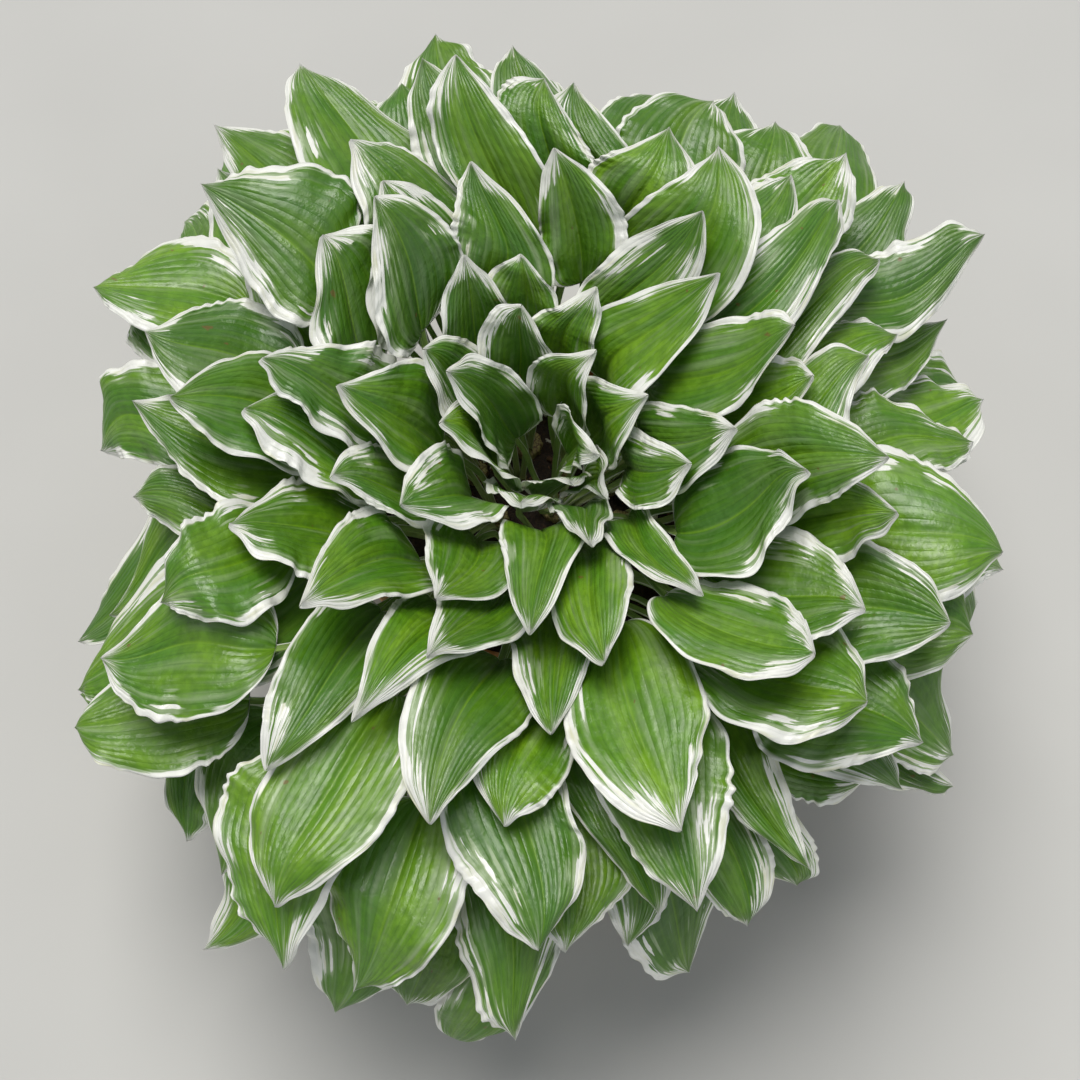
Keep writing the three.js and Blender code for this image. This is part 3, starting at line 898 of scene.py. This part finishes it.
# Noise lies mostly between 0.3 and 0.7, and the spans below pick how much of it shows. Scales of
# noise are in waves to the metre, and heights of bump in millimetres.


def colour(red, green, blue):
    """A colour as seen on a screen, from 0 to 255, as the renderer's linear one."""
    linear = [
        value / 12.92 if value <= 0.04045 else ((value + 0.055) / 1.055) ** 2.4
        for value in (red / 255, green / 255, blue / 255)
    ]
    return (*linear, 1)


class Nodes:
    """The nodes of a material or the sky, with short calls that add one and join it to others."""

    def __init__(self, owner):
        owner.use_nodes = True
        self.tree = owner.node_tree

    def add(self, kind, inputs=(), **settings):
        """A new node. Each input is a number or colour to set, or an output to join to it."""
        node = self.tree.nodes.new(kind)
        for name, value in settings.items():
            setattr(node, name, value)
        for name, value in dict(inputs).items():
            self.join(value, node.inputs[name])
        return node

    def join(self, value, socket):
        if isinstance(value, bpy.types.NodeSocket):
            self.tree.links.new(value, socket)
        else:
            socket.default_value = value

    def math(self, operation, *values):
        return self.add("ShaderNodeMath", dict(enumerate(values)), operation=operation).outputs[0]

    def times(self, first, second):
        return self.math("MULTIPLY", first, second)

    def plus(self, first, second):
        return self.math("ADD", first, second)

    def span(self, value, low, high, to_low=0.0, to_high=1.0):
        """Turns a value between low and high smoothly into one between to_low and to_high."""
        inputs = dict(enumerate((value, low, high, to_low, to_high)))
        return self.add("ShaderNodeMapRange", inputs, interpolation_type="SMOOTHSTEP").outputs[0]

    def vector(self, x, y, z):
        return self.add("ShaderNodeCombineXYZ", {0: x, 1: y, 2: z}).outputs[0]

    def scaled(self, vector, factor):
        inputs = {0: vector, 1: factor}
        return self.add("ShaderNodeVectorMath", inputs, operation="MULTIPLY").outputs[0]

    def noise(self, vector, scale=1.0, detail=2.0, rough=0.5):
        inputs = {"Vector": vector, "Scale": scale, "Detail": detail, "Roughness": rough}
        return self.add("ShaderNodeTexNoise", inputs).outputs["Fac"]

    def mix(self, share, first, second):
        node = self.add("ShaderNodeMix", data_type="RGBA")
        for value, number in ((share, 0), (first, 6), (second, 7)):
            self.join(value, node.inputs[number])
        return node.outputs[2]


class Look(Nodes):
    """A material, with what its nodes read from the piece and how they reach its shader."""

    def __init__(self, name):
        self.material = bpy.data.materials.new(name)
        super().__init__(self.material)
        self.shader = self.tree.nodes["Principled BSDF"]

    def value(self, name):
        """One of VALUES, as the mesh holds it."""
        return self.add("ShaderNodeAttribute", attribute_name=name).outputs["Fac"]

    def pattern(self):
        """The two values of the pattern map."""
        uv = self.add("ShaderNodeUVMap", uv_map="Pattern").outputs[0]
        return self.add("ShaderNodeSeparateXYZ", {0: uv}).outputs[:2]

    def position(self):
        """Of a point on the piece, in metres."""
        return self.add("ShaderNodeTexCoord").outputs["Object"]

    def bump(self, height, distance):
        normal = self.add("ShaderNodeBump", {"Height": height, "Distance": distance}).outputs[0]
        self.join(normal, self.shader.inputs["Normal"])

    def surface(self, base, roughness):
        self.join(base, self.shader.inputs["Base Color"])
        self.join(roughness, self.shader.inputs["Roughness"])

    def let_through(self, share, tint):
        """Some of the light passes through the leaf and colours its other side."""
        through = self.add("ShaderNodeBsdfTranslucent", {"Color": tint})
        shaders = {0: share, 1: self.shader.outputs[0], 2: through.outputs[0]}
        both = self.add("ShaderNodeMixShader", shaders)
        self.join(both.outputs[0], self.tree.nodes["Material Output"].inputs["Surface"])


LEAF_DEEP = colour(50, 94, 14)
LEAF_GREEN = colour(85, 142, 20)
LEAF_FRESH = colour(128, 174, 28)
LEAF_COOL = colour(72, 122, 40)
# Grey-green of the margin's grey zone, and also the colour of the painted sheen streaks.
LEAF_GREY_AND_SHEEN = colour(168, 188, 144)
LEAF_CREAM = colour(249, 249, 242)
LEAF_STRAW = colour(214, 216, 160)
LEAF_THROUGH = colour(150, 190, 50)
UNDER_GREEN = colour(128, 158, 96)
UNDER_DEEP = colour(104, 138, 74)
UNDER_COOL = colour(116, 146, 98)
# Grey-green of the underside's grey zone, and also the colour of its painted sheen streaks.
UNDER_GREY_AND_SHEEN = colour(176, 194, 160)
BLEMISH = colour(122, 88, 44)
PETIOLE_GREEN = colour(112, 146, 66)
PETIOLE_LIGHT = colour(146, 172, 92)
PETIOLE_FOOT = colour(196, 204, 150)
SHEATH_BROWN = colour(96, 72, 46)
SHEATH_PALE = colour(160, 150, 98)
SHEATH_STRIPS = (500, 500, 60)
PETIOLE_LINES = 40

# Margin of a blade: how wide its white edge is, in millimetres, where it is narrow and where it is
# wide, how far strands of white and of grey run in from it, and how soft the edge of each is.
EDGE_NARROW = 2.2
EDGE_WIDE = 3.3
EDGE_AT_TIP = 0.4
STRANDS_NARROW = 3.5
STRANDS_WIDE = 18
GREY_NARROW = 7
GREY_WIDE = 33
EDGE_SOFT = 0.9

# Surface of a blade.
PUCKER_HEIGHT = 1.05
FURROW_DEPTH = 0.14
RIDGE_HEIGHT = 0.28
GRAIN_HEIGHT = 0.07
LEAF_SPECKS = 75
LEAF_GRAIN = 2200
LEAF_LETS_THROUGH = 0.16
UPPER_ROUGHNESS = 0.37
UPPER_GLOSS = 0.75
UNDER_ROUGHNESS = 0.6
UNDER_GLOSS = 0.4


def leaf_look(name, tones, roughness, gloss):
    """A blade's face: green, a ragged white margin, grey-green strands where they meet, painted
    sheen streaks and painted shade in the vein furrows.
    """
    deep, green, fresh, cool, grey = tones
    look = Look(name)
    over, share = look.pattern()
    margin, vein, tone = (look.value(value_name) for value_name in VALUES)
    seed = look.times(tone, 57)
    half = look.math("SIGN", look.math("SUBTRACT", over, 0.5))

    def strands(fineness, length, shift, detail=2.0):
        """Noise drawn out along the veins, different on each leaf."""
        across, along = look.times(vein, fineness), look.times(share, length)
        return look.noise(look.vector(across, along, look.plus(seed, shift)), detail=detail)

    zone = look.noise(look.vector(look.times(half, 4), look.times(share, 2.4), seed), detail=1.0)
    wide = look.times(look.span(zone, 0.42, 0.65), look.span(share, 0.0, 0.35, 0.4, 1))
    feather = look.span(strands(1.5, 3.2, 9, 3.0), 0.4, 0.7)
    reach = look.math("MULTIPLY_ADD", wide, STRANDS_WIDE - STRANDS_NARROW, STRANDS_NARROW)
    edge = look.math("MULTIPLY_ADD", wide, EDGE_WIDE, EDGE_NARROW)
    edge = look.plus(look.times(feather, reach), edge)
    edge = look.times(edge, look.span(share, 0.84, 1, 1, EDGE_AT_TIP))
    inside = look.math("SUBTRACT", margin, edge)
    white = look.span(inside, -EDGE_SOFT, EDGE_SOFT, 1, 0)
    soft = look.span(strands(2.2, 2.6, 21), 0.38, 0.74)
    grey_reach = look.times(soft, look.span(wide, 0, 1, GREY_NARROW, GREY_WIDE))
    greyish = look.span(inside, 0, grey_reach, 1, 0)
    # Painted sheen: pale grey streaks along the veins, stronger near the margin, stand in for the
    # sky's reflection on the waxy leaf.
    painted_sheen = look.span(strands(0.8, 1.4, 61), 0.5, 0.76)
    painted_sheen = look.times(painted_sheen, look.span(margin, 4, 30, 0.7, 0.35))

    furrow = look.span(look.math("PINGPONG", vein, 0.5), 0.0, 0.14, 1, 0)
    midrib = look.span(look.math("ABSOLUTE", vein), 0.06, 0.2, 1, 0)
    leaf_hue = look.noise(look.vector(seed, 0.5, 0.5), 3.1, 1.0)
    mottle = look.vector(look.times(vein, 0.8), look.times(share, 15), seed)
    mottle = look.noise(mottle, 1.0, 4.0, 0.6)
    body = look.mix(look.span(strands(0.22, 1.7, 33, 1.0), 0.35, 0.66), green, fresh)
    body = look.mix(look.span(leaf_hue, 0.35, 0.65, 0, 0.62), body, cool)
    body = look.mix(look.span(leaf_hue, 0.3, 0.5, 0.3, 0), body, fresh)
    body = look.mix(look.span(tone, 0.1, 1, 0, 0.46), body, deep)
    body = look.mix(look.span(mottle, 0.36, 0.66, 0.42, 0), body, deep)
    body = look.mix(look.span(strands(3, 1.6, 45), 0.4, 0.75, 0, 0.17), body, fresh)
    body = look.mix(painted_sheen, body, grey)
    # Painted shade: the vein furrows are darkened towards the deep green, by a share that varies
    # along the leaf.
    sunk = look.span(strands(0.6, 3, 77), 0.35, 0.65, 0.03, 0.26)
    body = look.mix(look.times(furrow, sunk), body, deep)
    body = look.mix(look.times(midrib, 0.5), body, fresh)
    body = look.mix(look.times(greyish, 0.85), body, grey)
    position = look.position()
    speck = look.span(look.noise(position, LEAF_SPECKS), 0.74, 0.77)
    body = look.mix(look.times(speck, 0.7), body, BLEMISH)
    pale = look.mix(look.span(strands(1.1, 6, 93), 0.5, 0.8, 0, 0.6), LEAF_CREAM, LEAF_STRAW)
    base = look.mix(white, body, pale)

    pucker = look.noise(look.vector(look.times(vein, 1.1), look.times(share, 20), seed), detail=3.0)
    ridge = look.span(look.math("PINGPONG", vein, 0.5), 0.0, 0.5)
    grain = look.noise(position, LEAF_GRAIN)
    height = look.math("MULTIPLY_ADD", pucker, PUCKER_HEIGHT, look.times(furrow, -FURROW_DEPTH))
    height = look.math("MULTIPLY_ADD", ridge, RIDGE_HEIGHT, height)
    look.bump(look.math("MULTIPLY_ADD", grain, GRAIN_HEIGHT, height), MM)
    satin = look.span(strands(0.9, 3, 15), 0.35, 0.65, roughness - 0.07, roughness + 0.09)
    look.surface(base, satin)
    look.join(gloss, look.shader.inputs["Specular IOR Level"])
    look.let_through(LEAF_LETS_THROUGH, look.mix(white, LEAF_THROUGH, LEAF_CREAM))
    return look.material


def petiole_look():
    """Green, paler towards the root, with white edges along the channel."""
    look = Look("petiole")
    around, along = look.pattern()
    edge = look.span(look.math("PINGPONG", around, 0.5), 0.03, 0.07, 1, 0)
    lines = look.times(around, PETIOLE_LINES)
    rib = look.noise(look.vector(lines, look.times(along, 3), look.value("tone")))
    green = look.mix(look.span(rib, 0.35, 0.7), PETIOLE_GREEN, PETIOLE_LIGHT)
    pale = look.mix(look.span(along, 0.0, 0.35, 0.75, 0), green, PETIOLE_FOOT)
    edged = look.mix(look.times(edge, 0.75), pale, LEAF_CREAM)
    look.surface(edged, look.span(rib, 0.3, 0.7, 0.4, 0.52))
    look.bump(rib, 0.4 * MM)
    return look.material


def crown_look():
    """Dry brown sheaths over pale stock."""
    look = Look("crown")
    position = look.position()
    strips = look.noise(look.scaled(position, SHEATH_STRIPS), 1.0, 3.0)
    base = look.mix(look.span(strips, 0.35, 0.65), SHEATH_BROWN, SHEATH_PALE)
    look.surface(base, look.span(strips, 0.3, 0.7, 0.6, 0.85))
    look.bump(strips, 0.8 * MM)
    return look.material


CLAY = colour(196, 116, 78)
CLAY_LIGHT = colour(216, 142, 102)
CLAY_DEEP = colour(176, 98, 64)
CLAY_GRIT = colour(126, 76, 54)
CLAY_DAMP = colour(146, 84, 56)
CLAY_LIME = colour(232, 214, 196)
CLAY_MOSS = colour(112, 108, 62)
CLAY_RUBBED = colour(232, 178, 142)

# Patterns of the clay, and how high above the floor its damp and its moss reach, in metres.
CLAY_CLOUDS = 9
CLAY_MOTTLES = 70
CLAY_TURNING = (6, 6, 620)
CLAY_DRIPS = (34, 34, 9)
CLAY_GRAINS = 1500
CLAY_SPECKS = 420
DAMP_LOW = 0.01
DAMP_HIGH = 0.09
DAMP_WAVER = 0.04
MOSS_HIGH = 0.12
LIP_RUB = 5


def terracotta_look():
    """Fired clay: turning lines, a limy bloom, darker damp towards the foot and a rubbed lip."""
    look = Look("terracotta")
    position = look.position()
    height = look.add("ShaderNodeSeparateXYZ", {0: position}).outputs[2]
    cloud = look.noise(position, CLAY_CLOUDS, 4.0, 0.55)
    mottle = look.noise(position, CLAY_MOTTLES, 4.0, 0.6)
    lines = look.noise(look.scaled(position, CLAY_TURNING), 1.0, 3.0, 0.6)
    grain = look.noise(position, CLAY_GRAINS, 3.0, 0.6)
    clay = look.mix(look.span(mottle, 0.35, 0.68), CLAY, CLAY_LIGHT)
    clay = look.mix(look.span(lines, 0.35, 0.75, 0, 0.4), clay, CLAY_DEEP)
    grit = look.span(look.noise(position, CLAY_SPECKS), 0.64, 0.72, 0, 0.5)
    clay = look.mix(grit, clay, CLAY_GRIT)
    damp_edge = look.plus(height, look.span(cloud, 0.3, 0.7, -DAMP_WAVER, DAMP_WAVER))
    clay = look.mix(look.span(damp_edge, DAMP_LOW, DAMP_HIGH, 0.5, 0), clay, CLAY_DAMP)
    drips = look.noise(look.scaled(position, CLAY_DRIPS), 1.0, 5.0, 0.6)
    bloom = look.times(look.span(cloud, 0.42, 0.62), look.span(drips, 0.38, 0.66))
    collar_low = (POT_HEIGHT - COLLAR_HEIGHT) * MM
    bloom = look.times(bloom, look.span(height, collar_low - 0.05, collar_low + 0.01, 0.5, 1))
    clay = look.mix(look.times(bloom, look.span(mottle, 0.35, 0.6, 0.3, 0.8)), clay, CLAY_LIME)
    moss = look.times(look.span(drips, 0.52, 0.75), look.span(height, 0.0, MOSS_HIGH, 0.35, 0))
    clay = look.mix(moss, clay, CLAY_MOSS)
    lip = look.span(height, (POT_HEIGHT - LIP_RUB) * MM, POT_HEIGHT * MM)
    clay = look.mix(look.times(lip, look.span(mottle, 0.4, 0.7, 0.15, 0.6)), clay, CLAY_RUBBED)
    look.surface(clay, look.span(mottle, 0.3, 0.7, 0.74, 0.92))
    relief = look.math("MULTIPLY_ADD", lines, 0.5, look.times(grain, 0.16))
    look.bump(look.math("MULTIPLY_ADD", mottle, 0.35, relief), MM)
    return look.material


PEAT_DARK = colour(30, 22, 16)
PEAT_BROWN = colour(66, 50, 38)
BARK_DARK = colour(48, 34, 24)
BARK_LIGHT = colour(104, 74, 48)
WHITE_GRAIN = colour(206, 202, 190)
SOIL_GRIT = 420


def soil_look():
    """Dark peaty soil, with bark in several browns and the odd white grain."""
    look = Look("potting_soil")
    position = look.position()
    tone = look.value("tone")
    grit = look.noise(position, SOIL_GRIT, 4.0, 0.65)
    peat = look.mix(look.span(grit, 0.35, 0.7), PEAT_DARK, PEAT_BROWN)
    bark = look.mix(look.span(tone, 0.35, 0.9), BARK_DARK, BARK_LIGHT)
    base = look.mix(look.span(tone, 0.25, 0.45), peat, bark)
    base = look.mix(look.span(tone, 0.95, 0.96), base, WHITE_GRAIN)
    look.surface(base, look.span(grit, 0.3, 0.7, 0.8, 0.98))
    look.bump(grit, 1.6 * MM)
    return look.material


FLOOR_GREY = colour(188, 187, 183)
FLOOR_PALE = colour(198, 197, 193)


def floor_look():
    """Plain and pale, with the faintest clouding."""
    look = Look("floor")
    position = look.position()
    base = look.mix(look.noise(position, 3.0), FLOOR_GREY, FLOOR_PALE)
    look.surface(base, 0.8)
    return look.material


# ---- the scene ----

FLOOR_RADIUS = 60
FLOOR_SIDES = 128
CAMERA_TARGET = (0.0, -0.063, 0.335)
CAMERA_ELEVATION = 66.5
CAMERA_DISTANCE = 1.43
CAMERA_LENS = 52
CAMERA_SENSOR = 36
SKY = (0.235, 0.255, 0.28, 1)
HORIZON = (0.615, 0.62, 0.6, 1)
HORIZON_TOP = 0.1
SKY_FROM = 0.34

# Lamps: where each stands as seen from the plant, its width in degrees, its strength and its tint.
LAMPS = (
    ("overcast", (-0.35, 0.85, 2.6), 38, 2.8, (1.0, 0.98, 0.95)),
    ("fill", (1.8, -2.0, 1.6), 70, 0.3, (0.92, 0.96, 1.0)),
)


def add_floor():
    """A disc that reaches to the horizon."""
    mesh = bpy.data.meshes.new("floor")
    rim = turned([(FLOOR_RADIUS, 0)], FLOOR_SIDES)[0]
    mesh.from_pydata(rim.tolist(), [], [range(FLOOR_SIDES)])
    mesh.materials.append(floor_look())
    floor = add_object("floor", mesh)


def aim(thing, target):
    """Turns a lamp or camera, which look along their -Z, towards a point."""
    thing.rotation_euler = (Vector(target) - thing.location).to_track_quat("-Z", "Y").to_euler()


def add_sky():
    """A dim sky, as pale as the floor near the horizon, so that the two meet without a line."""
    world = bpy.data.worlds.new("sky")
    sky = Nodes(world)
    direction = sky.add("ShaderNodeTexCoord").outputs["Generated"]
    height = sky.add("ShaderNodeSeparateXYZ", {0: direction}).outputs[2]
    tint = sky.mix(sky.span(height, HORIZON_TOP, SKY_FROM), HORIZON, SKY)
    sky.join(tint, sky.tree.nodes["Background"].inputs["Color"])
    bpy.context.scene.world = world


def add_lamps():
    """Two wide soft lamps: an overcast sky from behind and a faint fill from in front."""
    for name, stand, width, strength, tint in LAMPS:
        lamp = bpy.data.lights.new(name, "SUN")
        lamp.angle = math.radians(width)
        lamp.energy = strength
        lamp.color = tint
        thing = add_object(name, lamp)
        thing.location = Vector(CAMERA_TARGET) + Vector(stand)
        aim(thing, CAMERA_TARGET)


def add_camera():
    """Looks down on the plant from in front, at the photo's angle."""
    camera = bpy.data.cameras.new("camera")
    camera.lens = CAMERA_LENS
    camera.sensor_width = CAMERA_SENSOR
    thing = add_object("camera", camera)
    elevation = math.radians(CAMERA_ELEVATION)
    back = Vector((0, -math.cos(elevation), math.sin(elevation)))
    thing.location = Vector(CAMERA_TARGET) + back * CAMERA_DISTANCE
    aim(thing, CAMERA_TARGET)
    bpy.context.scene.camera = thing


def grow():
    """The shoots with their leaves, from the two rows of random numbers."""
    row = RandomRow(SEED)
    detail_row = RandomRow(DETAIL_SEED)
    shoots = [Shoot(index) for index in range(SHOOTS)]
    for index in range(LEAVES):
        leaf = Leaf(index, shoots, row)
        leaf.draw_detail(detail_row)
        leaf.shoot.leaves.append(leaf)
    for shoot in shoots:
        shoot.settle()
    return shoots


add_camera()
add_sky()
add_lamps()
add_floor()
make_pot(terracotta_look())
make_soil(soil_look())
upper_tones = (LEAF_DEEP, LEAF_GREEN, LEAF_FRESH, LEAF_COOL, LEAF_GREY_AND_SHEEN)
under_tones = (UNDER_DEEP, UNDER_GREEN, UNDER_GREEN, UNDER_COOL, UNDER_GREY_AND_SHEEN)
upper = leaf_look("leaf_upper", upper_tones, UPPER_ROUGHNESS, UPPER_GLOSS)
under = leaf_look("leaf_under", under_tones, UNDER_ROUGHNESS, UNDER_GLOSS)
leaf_materials = [upper, under, petiole_look(), crown_look()]
for shoot in grow():
    make_shoot(shoot, leaf_materials)
bpy.context.scene.view_settings.view_transform = "Standard"
